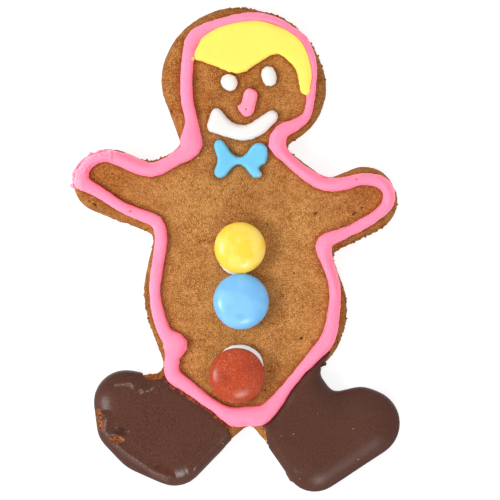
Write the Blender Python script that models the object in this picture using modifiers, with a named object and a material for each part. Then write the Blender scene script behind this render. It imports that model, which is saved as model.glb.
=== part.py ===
"""Gingerbread man biscuit with piped icing, three sugar-shelled sweets and two chocolate-dipped feet.

It lies face up: +Z is up through the icing, +Y runs to the crown of the head and +X to the
side of the arm with the smaller hand. The origin is under the middle of the biscuit. Sizes are
in millimetres up to the last step of each mesh, where MM turns them into metres.
"""

import math

import bmesh
import bpy

MM = 0.001

# Driving sizes
BISCUIT_TOP = 7.5  # thickness of the baked dough
GAP = 0.3  # clearance between one solid and the next
COAT_SIDE = 0.9  # chocolate on the sides of a foot
COAT_TOP = 0.9  # chocolate on the top of a foot
ARC_STEP = 2.0  # longest facet on an outline
PIPE_STEP = 2.1  # longest facet along the piped border
SWEET_FACETS = 26  # facets round a sweet

SHARP_ANGLE = 40.0  # degrees between faces that still shade as one surface
BELOW = -2.0  # cutters start under the floor
ABOVE = 14.0  # and end over everything flat

ICING_BASE = BISCUIT_TOP + GAP
COATED = COAT_SIDE + GAP  # how far the dough stands back under the chocolate
CHOCOLATE_TOP = ICING_BASE + COAT_TOP

# How far an outline stands in at each height
DOUGH_LEVELS = [(0.8, 0.0), (0.0, 1.2), (0.1, 4.9), (0.8, 6.7), (2.2, BISCUIT_TOP)]
COAT_LEVELS = [(0.4, 0.0), (0.0, 0.8), (0.0, 5.2), (0.7, 7.4), (2.3, CHOCOLATE_TOP)]

# The cutter is a metal strip bent round pegs, anticlockwise from the crown. Each peg is x, y and
# radius. The strip goes round the outside of a positive peg and turns into a notch at a negative one.
HEAD_LEFT = [(0.5, 44.5, 20.6), (-4.0, 45.7, 16.0), (-16.3, 28.6, -1.6)]
ARM_LEFT = [(-23.0, 29.9, -6.0), (-33.2, 19.4, 7.6), (-35.3, 18.2, 8.3), (-23.9, 2.9, -2.0)]
SIDE_LEFT = [(-0.6, -11.2, 24.0), (-21.6, -31.2, -2.4)]
FOOT_LEFT = [(-29.5, -40.9, 8.6), (-29.3, -46.9, 8.0), (-21.7, -47.7, 13.0), (-16.4, -55.3, 8.2)]
CROTCH = [(3.7, -49.3, -2.0)]
FOOT_RIGHT = [(21.3, -57.0, 8.0), (35.0, -46.6, 9.2), (33.6, -44.8, 8.0), (27.2, -35.4, -2.6)]
ANKLE_RIGHT = [(25.0, -33.0, -2.2)]
ANKLE_RIGHT_DOUGH = [(24.0, -33.4, -2.0)]
SIDE_RIGHT = [(9.3, -16.0, 20.6), (28.2, -1.9, -2.1)]
ARM_RIGHT = [(35.4, 13.0, 8.1), (34.8, 14.2, 8.2), (25.0, 23.5, -4.0)]
HEAD_RIGHT = [(15.5, 27.4, -1.5), (8.4, 43.6, 16.0), (3.6, 44.4, 20.0)]

# The pink border is one bead piped freehand round the body: x, y and width, anticlockwise.
BORDER_HEAD_LEFT = [
    (3.5, 62.7, 2.4), (-5.0, 60.8, 2.4), (-11.0, 57.5, 3.5), (-12.6, 53.0, 3.3), (-13.2, 45.0, 3.4),
    (-12.9, 39.5, 3.4), (-11.8, 34.5, 3.5), (-11.9, 29.8, 6.0), (-12.3, 27.4, 5.9),
]
BORDER_ARM_LEFT = [
    (-16.2, 24.4, 3.9), (-22.5, 21.5, 4.0), (-30.0, 24.0, 4.1), (-35.0, 25.3, 3.2), (-39.6, 23.4, 3.4),
    (-41.4, 20.6, 4.3), (-41.3, 18.3, 4.6), (-39.3, 17.1, 3.6), (-35.8, 15.0, 3.2), (-30.4, 11.5, 3.0),
    (-24.8, 9.2, 3.3), (-21.2, 7.6, 3.6), (-20.1, 4.6, 3.4),
]
BORDER_SIDE_LEFT = [
    (-20.1, 1.0, 3.4), (-21.2, -6.0, 3.3), (-21.7, -11.5, 3.0), (-20.8, -17.0, 3.4), (-19.3, -21.5, 3.6),
    (-18.0, -23.4, 4.4), (-16.2, -25.4, 7.0), (-16.9, -28.9, 4.1), (-17.2, -31.5, 4.2), (-16.6, -33.9, 4.4),
]
BORDER_HEM = [
    (-13.5, -36.1, 3.8), (-9.1, -39.5, 3.2), (-4.6, -42.6, 3.3), (-0.8, -44.8, 5.2), (3.0, -44.7, 5.3),
    (6.6, -44.5, 5.5), (9.4, -42.6, 4.3), (14.0, -36.7, 2.9), (18.0, -31.9, 2.9), (21.4, -28.1, 3.6),
]
BORDER_SIDE_RIGHT = [
    (24.2, -25.0, 4.1), (25.6, -21.5, 3.8), (26.7, -13.6, 3.2), (26.3, -8.0, 3.2), (24.7, -3.2, 3.5),
    (23.6, 0.9, 4.6),
]
BORDER_ARM_RIGHT = [
    (25.2, 2.9, 4.0), (30.5, 5.1, 2.9), (34.6, 7.2, 3.2), (38.0, 9.4, 2.9), (40.8, 12.2, 3.4),
    (41.2, 15.8, 3.5), (38.8, 18.4, 3.5), (33.8, 19.0, 3.3), (28.5, 17.7, 3.6), (23.6, 17.9, 4.0),
    (18.3, 20.9, 3.5),
]
BORDER_HEAD_RIGHT = [
    (13.7, 25.0, 3.3), (11.2, 28.2, 4.8), (12.4, 31.8, 4.2), (16.0, 33.6, 3.4), (19.1, 36.0, 2.4),
    (20.3, 41.0, 2.2), (21.2, 46.5, 1.4), (20.7, 51.5, 2.0), (18.5, 56.5, 2.1), (15.0, 59.3, 1.9),
    (10.0, 62.0, 2.1),
]

# Flooded and dabbed icing: pegs again, anticlockwise.
HAIR = [
    (3.5, 42.0, 19.5), (-5.0, 53.9, 4.9), (-10.0, 52.1, 1.1), (0.6, 51.2, 3.9), (11.0, 49.6, -3.0),
    (11.3, 46.0, -5.4), (18.7, 43.1, 1.4), (17.9, 46.2, 3.0), (10.5, 50.0, 9.4),
]
EYE_LEFT = [(-2.2, 45.3, 2.05), (-1.4, 44.45, 1.95), (-1.45, 45.3, 2.05)]
EYE_RIGHT = [(8.85, 47.4, 2.1), (9.2, 45.75, 2.0)]
NOSE = [(3.8, 42.0, 1.55), (0.5, 40.7, -1.3), (1.3, 37.9, 0.65), (3.15, 37.6, 1.85), (4.7, 41.6, 1.4)]
SMILE = [
    (-5.0, 36.5, 1.65), (-6.9, 33.4, 0.9), (-6.7, 32.3, 0.6), (2.1, 38.6, 9.2),
    (9.9, 35.9, 1.7), (1.7, 38.45, -4.9),
]
BOW_TIE = [
    (-4.4, 28.2, 1.5), (-6.6, 24.4, -1.8), (-4.1, 20.9, 1.75), (0.9, 20.6, -2.3), (5.3, 20.3, 1.0),
    (6.5, 20.1, 0.6), (7.2, 21.9, -0.8), (7.2, 24.0, 1.2), (6.3, 26.3, 2.6), (1.0, 27.3, -2.4),
]

# Where the chocolate ends on each leg, and then round the outside of the foot.
DIP_LEFT = [
    (-17.0, -33.0), (-20.6, -34.4), (-22.6, -34.8), (-24.4, -33.9), (-26.0, -30.0), (-48.0, -30.0),
    (-48.0, -70.0), (-0.6, -70.0), (-0.9, -50.0), (-2.3, -47.4), (-4.0, -45.6), (-4.0, -40.0),
]
DIP_RIGHT = [
    (7.2, -44.0), (7.6, -47.5), (8.3, -50.6), (6.0, -70.0), (48.0, -70.0), (48.0, -31.2),
    (24.6, -31.2), (23.9, -30.6), (24.2, -29.4), (25.5, -27.4), (22.0, -24.0), (10.0, -38.0),
]

# The three sweets: name, x, y, radius, tilt about X and about Y in degrees
SWEETS = [
    ("top", 1.2, 0.6, 6.9, 2.0, -1.5),
    ("middle", 1.5, -13.8, 7.5, -1.0, 1.5),
    ("bottom", 0.4, -33.7, 7.45, 2.5, 2.0),
]
SWEET_HALF = 2.9  # half the thickness of a sweet
SWEET_ROUNDING = 0.9  # under 1 gives a sweet a fuller edge than an ellipse
PROFILE_FACETS = 8  # facets from the top pole to the bottom pole
SWEET_LIFT = 0.9  # icing left under the lowest point of a sweet
# The dab of white icing under each sweet: x, y, radius
DABS = {"top": (0.5, -2.0, 4.8), "middle": (1.5, -13.8, 4.3), "bottom": (1.2, -31.4, 6.1)}
DAB_LEVELS = [(0.3, 0.0), (0.0, 0.7), (0.5, 1.7), (1.6, 2.2)]  # inset and height over the dough
DAB_STRETCH = 0.4  # a dab is this much longer each way across the body

# Soft icing patches: height, and how far their edge rolls over before the top is flat
HAIR_ROLL = (1.8, 1.2)
BOW_ROLL = (1.9, 0.7)
EYE_ROLL = (1.6, 1.6)
NOSE_ROLL = (2.0, 1.3)
SMILE_ROLL = (1.9, 1.4)
ROLL_ANGLES = (20, 45, 68)  # degrees up the rolled edge

# Piped bead: height grows with its width, and its section runs over the top from side to side
BEAD_LEAST = 0.9
BEAD_GROWTH = 0.36
BEAD_SECTION = [
    (1.0, 0.0), (0.97, 0.4), (0.75, 0.78), (0.32, 0.98),
    (-0.32, 0.98), (-0.75, 0.78), (-0.97, 0.4), (-1.0, 0.0),
]


def runs(pegs):
    """Angle of the straight run that leaves each peg for the next."""
    angles = []
    for (x, y, r), (nx, ny, nr) in zip(pegs, pegs[1:] + pegs[:1]):
        apart = math.hypot(nx - x, ny - y)
        angles.append(math.atan2(ny - y, nx - x) - math.asin((nr - r) / apart))
    return angles


def turns(pegs):
    """Angle at which the strip reaches each peg, and how far it turns there."""
    angles = runs(pegs)
    found = []
    for (x, y, r), arrive, leave in zip(pegs, angles[-1:] + angles[:-1], angles):
        if r > 0:
            turn = (leave - arrive) % math.tau
        else:
            turn = -((arrive - leave) % math.tau)
        if abs(turn) > math.radians(300):
            raise ValueError(f"the strip misses the peg at {x}, {y}")
        found.append((arrive, turn))
    return found


def belt(pegs, inset=0.0, step=ARC_STEP):
    """Outline of a strip bent round the pegs, moved in by inset, with the same count at any inset."""
    moved = []
    for x, y, r in pegs:
        moved.append((x, y, max(r - inset, 0.15) if r > 0 else r - inset))
    outline = []
    for (x, y, r), (_, full), (arrive, turn) in zip(moved, turns(pegs), turns(moved)):
        size = max(abs(r + inset), 1.2 * step)
        count = max(1, math.ceil(abs(full) * size / step))
        for i in range(count + 1):
            angle = arrive + turn * i / count
            outline.append((x + r * math.sin(angle), y - r * math.cos(angle)))
    return outline


def smooth_route(points, step):
    """Closed Catmull-Rom curve through the points, every value eased alike."""
    route = []
    total = len(points)
    for i in range(total):
        a, b, c, d = (points[(i + k) % total] for k in (-1, 0, 1, 2))
        count = max(2, round(math.dist(b[:2], c[:2]) / step))
        for k in range(count):
            t = k / count
            route.append(tuple(
                0.5 * (2 * q + (r - p) * t + (2 * p - 5 * q + 4 * r - s) * t ** 2
                       + (3 * q - p - 3 * r + s) * t ** 3)
                for p, q, r, s in zip(a, b, c, d)
            ))
    return route


def edge(route, side, margin=0.0):
    """Edge of the piped bead: side 1 is its inner edge, -1 its outer edge, margin lies outside it."""
    line = []
    for i, (x, y, width) in enumerate(route):
        px, py, _ = route[i - 1]
        nx, ny, _ = route[(i + 1) % len(route)]
        length = math.hypot(nx - px, ny - py)
        reach = side * (width / 2 + margin)
        line.append((x - reach * (ny - py) / length, y + reach * (nx - px) / length))
    return line


def new_object(name, bm, collection):
    """Put a mesh, drawn in millimetres, into an object in metres."""
    bmesh.ops.recalc_face_normals(bm, faces=bm.faces)
    bmesh.ops.scale(bm, vec=(MM, MM, MM), verts=bm.verts)
    mesh = bpy.data.meshes.new(name)
    bm.to_mesh(mesh)
    bm.free()
    mesh.shade_smooth()
    mesh.set_sharp_from_angle(angle=math.radians(SHARP_ANGLE))
    piece = bpy.data.objects.new(name, mesh)
    collection.objects.link(piece)
    return piece


def loft(name, rings, collection):
    """Closed body through rings of equal count, from the lowest to the highest, with flat ends."""
    bm = bmesh.new()
    loops = [[bm.verts.new(point) for point in ring] for ring in rings]
    for low, high in zip(loops, loops[1:]):
        for i in range(len(low)):
            bm.faces.new((low[i - 1], low[i], high[i], high[i - 1]))
    bm.faces.new(list(reversed(loops[0])))
    bm.faces.new(loops[-1])
    return new_object(name, bm, collection)


def prism(name, outline, low, high, collection):
    """Straight-sided body of one outline between two heights."""
    return loft(name, [[(x, y, z) for x, y in outline] for z in (low, high)], collection)


def layered(name, pegs, levels, collection):
    """Body whose outline is moved in by a stated amount at each height: levels of (inset, height)."""
    rings = [[(x, y, z) for x, y in belt(pegs, inset)] for inset, z in levels]
    return loft(name, rings, collection)


def pillow(height, edge_width):
    """Levels of a soft flooded patch: upright at its foot, then rolling over to a flat middle."""
    levels = [(0.0, ICING_BASE)]
    for angle in ROLL_ANGLES:
        inset = edge_width * (1 - math.cos(math.radians(angle)))
        levels.append((inset, ICING_BASE + height * math.sin(math.radians(angle))))
    levels.append((edge_width, ICING_BASE + height))
    return levels


def piped_bead(name, route, collection):
    """Closed bead of icing with a flat base, as wide as the route says and lower than it is wide."""
    bm = bmesh.new()
    inner, outer = edge(route, 1), edge(route, -1)
    slices = []
    for (x, y, width), (ix, iy), (ox, oy) in zip(route, inner, outer):
        height = BEAD_LEAST + BEAD_GROWTH * width
        section = []
        for across, up in BEAD_SECTION:
            share = (1 + across) / 2
            point = (ox + (ix - ox) * share, oy + (iy - oy) * share, ICING_BASE + height * up)
            section.append(bm.verts.new(point))
        slices.append(section)
    for back, front in zip(slices[-1:] + slices[:-1], slices):
        for i in range(len(BEAD_SECTION)):
            bm.faces.new((back[i - 1], back[i], front[i], front[i - 1]))
    return new_object(name, bm, collection)


def lentil_profile(radius, half):
    """Half outline of a sugar-shelled sweet, from its top pole down to its bottom pole."""
    profile = []
    for i in range(PROFILE_FACETS + 1):
        angle = math.pi * i / PROFILE_FACETS
        profile.append((radius * math.sin(angle) ** SWEET_ROUNDING, 0.0, half * math.cos(angle)))
    return profile


def turned(name, profile, facets, collection):
    """Body turned about Z from a profile that runs from its top pole to its bottom pole."""
    mesh = bpy.data.meshes.new(name)
    points = [(x * MM, y * MM, z * MM) for x, y, z in profile]
    mesh.from_pydata(points, [(i, i + 1) for i in range(len(points) - 1)], [])
    piece = bpy.data.objects.new(name, mesh)
    collection.objects.link(piece)
    screw = piece.modifiers.new("turn", "SCREW")
    screw.steps = facets
    screw.render_steps = facets
    screw.use_merge_vertices = True
    screw.merge_threshold = 0.00005
    return piece


def cut(piece, cutter, operation="DIFFERENCE"):
    """Boolean a piece with a cutter."""
    modifier = piece.modifiers.new(f"{operation.lower()} {cutter.name}", "BOOLEAN")
    modifier.operation = operation
    modifier.solver = "EXACT"
    modifier.object = cutter


def material(name, colour, roughness):
    """Plain food material."""
    made = bpy.data.materials.new(name)
    made.use_nodes = True
    shader = made.node_tree.nodes["Principled BSDF"]
    shader.inputs["Base Color"].default_value = (*colour, 1.0)
    shader.inputs["Roughness"].default_value = roughness
    shader.inputs["Metallic"].default_value = 0.0
    return made


def clear_scene():
    """Remove whatever the file opened with."""
    for thing in list(bpy.data.objects):
        bpy.data.objects.remove(thing, do_unlink=True)


def collection_named(name):
    """New collection in the scene."""
    made = bpy.data.collections.new(name)
    bpy.context.scene.collection.children.link(made)
    return made


def make_biscuit(parts):
    """Baked dough: flat underneath, a soft shoulder round the top, set back under the chocolate."""
    return layered("biscuit", dough_pegs(), DOUGH_LEVELS, parts)


def coated(pegs, by):
    """The same pegs, moved in by one amount."""
    return [(x, y, r - by) for x, y, r in pegs]


def dough_pegs():
    """The cutter's outline, set back at the feet by the coat of chocolate."""
    return (HEAD_LEFT + ARM_LEFT + SIDE_LEFT + coated(FOOT_LEFT, COATED) + CROTCH
            + coated(FOOT_RIGHT, COATED) + ANKLE_RIGHT_DOUGH + SIDE_RIGHT + ARM_RIGHT + HEAD_RIGHT)


def make_feet(route, parts, cutters):
    """Chocolate coat on the top and sides of each foot, open underneath, up to the piped border."""
    outer = (HEAD_LEFT + ARM_LEFT + SIDE_LEFT + FOOT_LEFT + CROTCH
             + FOOT_RIGHT + ANKLE_RIGHT + SIDE_RIGHT + ARM_RIGHT + HEAD_RIGHT)
    hollow = [(-GAP, BELOW)] + [(inset - GAP, z + GAP) for inset, z in DOUGH_LEVELS[1:]]
    dough = layered("cut_dough", dough_pegs(), hollow, cutters)
    border = prism("cut_border", edge(route, -1, GAP), BISCUIT_TOP - GAP, ABOVE, cutters)
    feet = []
    for side, dip in (("left", DIP_LEFT), ("right", DIP_RIGHT)):
        foot = layered(f"chocolate_foot_{side}", outer, COAT_LEVELS, parts)
        region = prism(f"cut_dip_{side}", dip, BELOW, ABOVE, cutters)
        cut(foot, region, "INTERSECT")
        cut(foot, dough)
        cut(foot, border)
        feet.append(foot)
    return feet


def make_patches(route, parts, cutters):
    """Flooded hair and the dabs of the face and bow tie."""
    inside = prism("cut_inside_border", edge(route, 1, GAP), BELOW, ABOVE, cutters)
    hair = layered("icing_hair", HAIR, pillow(*HAIR_ROLL), parts)
    cut(hair, inside, "INTERSECT")
    bow = layered("icing_bow_tie", BOW_TIE, pillow(*BOW_ROLL), parts)
    cut(bow, inside, "INTERSECT")
    eyes = [
        layered("icing_eye_left", EYE_LEFT, pillow(*EYE_ROLL), parts),
        layered("icing_eye_right", EYE_RIGHT, pillow(*EYE_ROLL), parts),
    ]
    nose = layered("icing_nose", NOSE, pillow(*NOSE_ROLL), parts)
    smile = layered("icing_smile", SMILE, pillow(*SMILE_ROLL), parts)
    return hair, bow, eyes, nose, smile


def make_sweets(parts, cutters):
    """Sugar-shelled sweets, each pressed into a dab of white icing."""
    sweets, dabs = [], []
    for name, x, y, radius, tilt_x, tilt_y in SWEETS:
        middle = (x * MM, y * MM, (ICING_BASE + SWEET_LIFT + SWEET_HALF) * MM)
        tilt = (math.radians(tilt_x), math.radians(tilt_y), 0.0)
        shell = lentil_profile(radius, SWEET_HALF)
        clearance = lentil_profile(radius + GAP, SWEET_HALF + GAP)
        sweet = turned(f"sweet_{name}", shell, SWEET_FACETS, parts)
        seat = turned(f"cut_sweet_{name}", clearance, SWEET_FACETS, cutters)
        for piece in (sweet, seat):
            piece.location = middle
            piece.rotation_euler = tilt
        dx, dy, spread = DABS[name]
        pegs = [(dx - DAB_STRETCH, dy, spread), (dx + DAB_STRETCH, dy, spread)]
        levels = [(inset, ICING_BASE + up) for inset, up in DAB_LEVELS]
        dab = layered(f"icing_dab_{name}", pegs, levels, parts)
        cut(dab, seat)
        sweets.append(sweet)
        dabs.append(dab)
    return sweets, dabs


def main():
    clear_scene()
    parts = collection_named("gingerbread_man")
    cutters = collection_named("cutters")
    route = smooth_route(
        BORDER_HEAD_LEFT + BORDER_ARM_LEFT + BORDER_SIDE_LEFT + BORDER_HEM
        + BORDER_SIDE_RIGHT + BORDER_ARM_RIGHT + BORDER_HEAD_RIGHT, PIPE_STEP)
    biscuit = make_biscuit(parts)
    border = piped_bead("icing_border", route, parts)
    feet = make_feet(route, parts, cutters)
    hair, bow, eyes, nose, smile = make_patches(route, parts, cutters)
    sweets, dabs = make_sweets(parts, cutters)

    finishes = [
        (material("baked dough", (0.47, 0.22, 0.07), 0.85), [biscuit]),
        (material("pink icing", (1.0, 0.35, 0.49), 0.45), [border, nose]),
        (material("yellow icing", (1.0, 0.87, 0.17), 0.45), [hair]),
        (material("white icing", (0.93, 0.93, 0.90), 0.45), [*eyes, smile, *dabs]),
        (material("blue icing", (0.23, 0.63, 0.95), 0.45), [bow]),
        (material("dark chocolate", (0.11, 0.045, 0.03), 0.4), feet),
        (material("yellow sugar shell", (1.0, 0.75, 0.07), 0.3), [sweets[0]]),
        (material("blue sugar shell", (0.28, 0.62, 0.95), 0.3), [sweets[1]]),
        (material("red-brown sugar shell", (0.58, 0.09, 0.03), 0.4), [sweets[2]]),
    ]
    for finish, pieces in finishes:
        for piece in pieces:
            piece.data.materials.append(finish)
    for cutter in cutters.objects:
        cutter.hide_render = True
        cutter.display_type = "WIRE"


if __name__ == "__main__":
    main()
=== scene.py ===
"""Finishes for a decorated gingerbread man: baked crumb, piped icing, sugar-shelled sweets and chocolate.

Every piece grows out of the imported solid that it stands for, so sizes and places come from the frame.
Bodies are drawn in millimetres and turned into metres as they are put into the scene.
"""

import math
import random

import bmesh
import bpy
from bpy.props import FloatProperty, FloatVectorProperty, PointerProperty
from mathutils import Euler, Matrix, Vector, noise
from mathutils.bvhtree import BVHTree
from mathutils.kdtree import KDTree


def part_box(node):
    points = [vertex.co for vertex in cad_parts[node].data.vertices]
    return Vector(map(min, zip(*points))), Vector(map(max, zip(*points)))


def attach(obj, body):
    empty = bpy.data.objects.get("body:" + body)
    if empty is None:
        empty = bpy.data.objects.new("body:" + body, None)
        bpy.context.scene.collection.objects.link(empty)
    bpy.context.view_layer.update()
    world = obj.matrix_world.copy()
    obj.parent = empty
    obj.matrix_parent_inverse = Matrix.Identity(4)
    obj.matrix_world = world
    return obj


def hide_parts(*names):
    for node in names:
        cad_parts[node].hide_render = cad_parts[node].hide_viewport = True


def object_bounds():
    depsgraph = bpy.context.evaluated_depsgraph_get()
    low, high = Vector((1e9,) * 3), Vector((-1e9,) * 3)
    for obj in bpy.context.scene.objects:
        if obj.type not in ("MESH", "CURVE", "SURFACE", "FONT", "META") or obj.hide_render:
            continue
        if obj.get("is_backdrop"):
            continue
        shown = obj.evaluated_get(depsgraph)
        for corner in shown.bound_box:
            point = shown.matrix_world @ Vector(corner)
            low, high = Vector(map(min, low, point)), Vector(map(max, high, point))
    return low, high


bl_info = {
    "name": "Gingerbread man",
    "version": (1, 0, 0),
    "blender": (4, 5, 0),
    "location": "View3D > Sidebar > Gingerbread",
    "description": "Dresses a gingerbread man in crumb, icing, sweets and chocolate",
    "category": "Object",
}

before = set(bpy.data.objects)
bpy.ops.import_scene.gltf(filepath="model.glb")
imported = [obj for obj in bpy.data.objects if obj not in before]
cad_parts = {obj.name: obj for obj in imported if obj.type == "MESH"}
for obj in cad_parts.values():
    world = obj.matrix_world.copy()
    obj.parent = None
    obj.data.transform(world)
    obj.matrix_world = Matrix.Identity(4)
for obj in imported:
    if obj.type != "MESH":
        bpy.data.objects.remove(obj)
CAD_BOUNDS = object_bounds()

MM = 0.001
BODY = "root"
MERGE = 1e-6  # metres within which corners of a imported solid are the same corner
UP = Vector((0, 0, 1))
ABOVE = 30.0  # rays that look for a surface start this high, in millimetres
EXPOSURE = 1.25  # light on a level surface, as a multiple of what renders white as white

DOUGH_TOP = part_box("biscuit")[1].z / MM
ICING_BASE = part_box("icing_border")[0].z / MM


# ---------------------------------------------------------------- settings

def linear(level):
    """Linear value of a display level, at most 1; bright dyes are given levels past 255."""
    share = level / 255
    value = share / 12.92 if share <= 0.04045 else ((share + 0.055) / 1.055) ** 2.4
    return min(1.0, value / EXPOSURE)


def glow(name, description, *parts):
    """Colour setting whose default is given in linear parts, as for the painted glow of the icing."""
    return FloatVectorProperty(
        name=name, description=description, subtype="COLOR", size=3, min=0.0, max=1.0, default=parts)


def tint(name, description, *levels):
    """Colour setting whose default is given in display levels."""
    return glow(name, description, *(linear(level) for level in levels))


def power(name, description, watts):
    """Setting for the power of a light."""
    return FloatProperty(name=name, description=description, default=watts, min=0.0, unit="POWER")


def length(name, description, millimetres):
    """Length setting."""
    return FloatProperty(
        name=name, description=description, default=millimetres * MM, min=0.0, unit="LENGTH", precision=5)


class DoughSettings(bpy.types.PropertyGroup):
    skin: length("Skin", "Size of the small faces of the dough", 0.43)
    wobble: length("Wobble", "How far the cut edge strays from the cutter", 0.16)
    crumb: length("Crumb", "How far crumbs stand out where the edge is rough", 0.42)
    swell: length("Swell", "How far the baked top rises and falls", 0.13)
    pale: tint("Pale grain", "Palest of the fine grain", 230, 168, 96)
    dark: tint("Dark grain", "Darkest of the fine grain", 160, 95, 42)
    browned_pale: tint("Browned pale grain", "Palest grain where the heat was stronger", 202, 128, 58)
    browned_dark: tint("Browned dark grain", "Darkest grain where the heat was stronger", 126, 62, 18)
    # Stain beside the icing with painted shade there, and a painted shadow beside the sweets
    damp: tint("Damp", "Dough darkened beside icing", 112, 56, 18)
    spice: tint("Spice", "Ground spice in the dough", 88, 48, 22)
    rust: tint("Rust", "Fine dark crumbs of the dough", 146, 74, 26)
    # Painted shade for the bottoms of pits and splits
    pit: tint("Pit", "Bottom of the pits", 78, 36, 16)
    sugar: tint("Sugar", "Pale grains in the dough", 250, 216, 172)


class IcingSettings(bpy.types.PropertyGroup):
    skin: length("Skin", "Size of the small faces of the icing", 0.27)
    sink: length("Sink", "How deep icing sits in the surface under it", 0.75)
    waver: length("Waver", "How far a piped edge wavers", 0.11)
    squeeze: FloatProperty(
        name="Squeeze", description="Extra height of a dab that a sweet pressed out", default=0.8, min=0.0)
    pink: tint("Pink", "Border", 280, 169, 200)
    nose: tint("Nose pink", "Nose", 280, 182, 208)
    # Deep pink for mottles and for painted shade at the edges of the icing; it also tints the hair beside the
    # border
    pink_deep_and_shade: tint("Deep pink", "Pink icing at its edges", 276, 126, 160)
    pink_pale: tint("Pale pink", "Torn icing", 280, 202, 220)
    yellow: tint("Yellow", "Hair", 270, 248, 126)
    # Deep yellow for mottles and for painted shade at the edges of the hair
    yellow_deep_and_shade: tint("Deep yellow", "Hair at its edges", 275, 226, 74)
    white: tint("White", "Eyes, smile and dabs", 236, 236, 233)
    # Shaded white for mottles and for painted shade at the edges of white icing
    white_deep_and_shade: tint("Shaded white", "White icing at its edges", 233, 232, 228)
    blue: tint("Blue", "Bow tie", 137, 220, 252)
    # Deep blue for mottles and for painted shade at the edges of the bow tie
    blue_deep_and_shade: tint("Deep blue", "Blue icing at its edges", 100, 194, 238)
    # Painted light: each glow is emission that keeps its icing bright where it is shaded
    pink_painted_glow: glow("Pink glow", "Light that the pink dye gives back", 0.32, 0.0, 0.02)
    yellow_painted_glow: glow("Yellow glow", "Light that the yellow dye gives back", 0.22, 0.1, 0.0)
    white_painted_glow: glow("White glow", "Light that the white icing gives back", 0.2, 0.2, 0.19)
    blue_painted_glow: glow("Blue glow", "Light that the blue dye gives back", 0.0, 0.04, 0.06)
    # Painted light on the dabs, where the sweets shade them
    dab_painted_glow: glow("Dab glow", "Light that the dabs get back from the sweets on them", 0.27, 0.28, 0.31)


class SweetSettings(bpy.types.PropertyGroup):
    yellow: tint("Yellow shell", "Top sweet", 278, 232, 70)
    yellow_pale: tint("Pale yellow", "Paler mottles of the top sweet", 280, 246, 124)
    blue: tint("Blue shell", "Middle sweet", 131, 206, 262)
    blue_pale: tint("Pale blue", "Paler drifts of the middle sweet", 152, 222, 268)
    red: tint("Red-brown shell", "Bottom sweet", 198, 64, 0)
    red_dull: tint("Dull red", "Duller drifts of the bottom sweet", 170, 52, 4)
    red_worn: tint("Worn shell", "Rubbed specks of the bottom sweet", 226, 146, 116)


class ChocolateSettings(bpy.types.PropertyGroup):
    skin: length("Skin", "Size of the small faces of the chocolate", 0.34)
    shoulder: length("Shoulder", "How far in from its rim the coat starts to round off", 9.0)
    drop: length("Drop", "How far the coat has come down at its rim", 3.6)
    dark: tint("Dark", "Chocolate", 78, 33, 12)
    # Painted light: the steep sides are mixed towards this lighter tone
    rim: tint("Rim", "Steep sides of the coat", 84, 42, 28)
    thin: tint("Thin", "Chocolate so thin that dough glows through", 92, 26, 2)
    # Painted shade in hollows and on slopes that face the head
    deep: tint("Deep", "Chocolate in its hollows and behind its high places", 44, 16, 5)
    bloom: tint("Bloom", "Faint pale dust in the chocolate", 112, 68, 50)
    bare: tint("Bare", "Dough stained by the chocolate that chipped off it", 172, 94, 34)
    bare_dark: tint("Dark bare", "Darker grain of the stained dough", 92, 36, 8)
    # Pale tone for real scratches and for a painted highlight along the crest of the fold
    scuff: tint("Scuff", "Pale scratches in the chocolate", 168, 140, 126)


class StageSettings(bpy.types.PropertyGroup):
    fill: FloatProperty(name="Fill", description="Even light from all round", default=0.56, min=0.0)
    left: power("Left", "Power of the left softbox", 2.3)
    left_core: power("Left core", "Power of the hot middle of the left softbox", 1.9)
    front: power("Front", "Power of the small front softbox", 1.2)
    back: power("Back", "Power of the softbox behind the head", 0.6)
    softbox: length("Softbox", "Side of the left and the back softbox", 450)
    core: length("Core", "Side of the hot middle and of the front softbox", 170)
    distance: FloatProperty(
        name="Distance", description="From the biscuit to the camera", default=3.0, min=0.1, unit="LENGTH")
    width: FloatProperty(
        name="Width", description="Width of the view at the biscuit", default=0.1343, min=0.01, unit="LENGTH")
    aim: FloatProperty(
        name="Aim", description="Camera's place right of the middle", default=0.0039, unit="LENGTH")


# ---------------------------------------------------------------- bodies

def ripple(point, size, seed=0.0):
    """Even noise from -1 to 1 whose waves are about size across."""
    return noise.noise(point / size + Vector((seed, seed * 0.7, seed * 0.3)))


def eased(value):
    """Smooth step from 0 to 1."""
    value = min(1.0, max(0.0, value))
    return value * value * (3 - 2 * value)


def route_distance(point, route):
    """Distance over the ground from a point to an open route."""
    best = math.inf
    for (ax, ay), (bx, by) in zip(route, route[1:]):
        x, y = point.x - ax, point.y - ay
        dx, dy = bx - ax, by - ay
        along = min(1.0, max(0.0, (x * dx + y * dy) / (dx * dx + dy * dy)))
        best = min(best, math.hypot(x - along * dx, y - along * dy))
    return best


def level(direction):
    """Level part of a direction."""
    return Vector((direction.x, direction.y, 0))


def packed(node):
    """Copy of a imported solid, merged and in millimetres."""
    bm = bmesh.new()
    bm.from_mesh(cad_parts[node].data)
    bmesh.ops.remove_doubles(bm, verts=bm.verts, dist=MERGE)
    bmesh.ops.scale(bm, vec=(1 / MM,) * 3, verts=bm.verts)
    return bm


def placed(name, data):
    """New object, put into the scene."""
    made = bpy.data.objects.new(name, data)
    bpy.context.scene.collection.objects.link(made)
    return made


def add_blob(bm, x, y, z, radius):
    """Small round lump, to be taken into the body by the next reskin."""
    made = bmesh.ops.create_icosphere(bm, subdivisions=2, radius=radius)
    bmesh.ops.translate(bm, vec=(x, y, z), verts=made["verts"])


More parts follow.
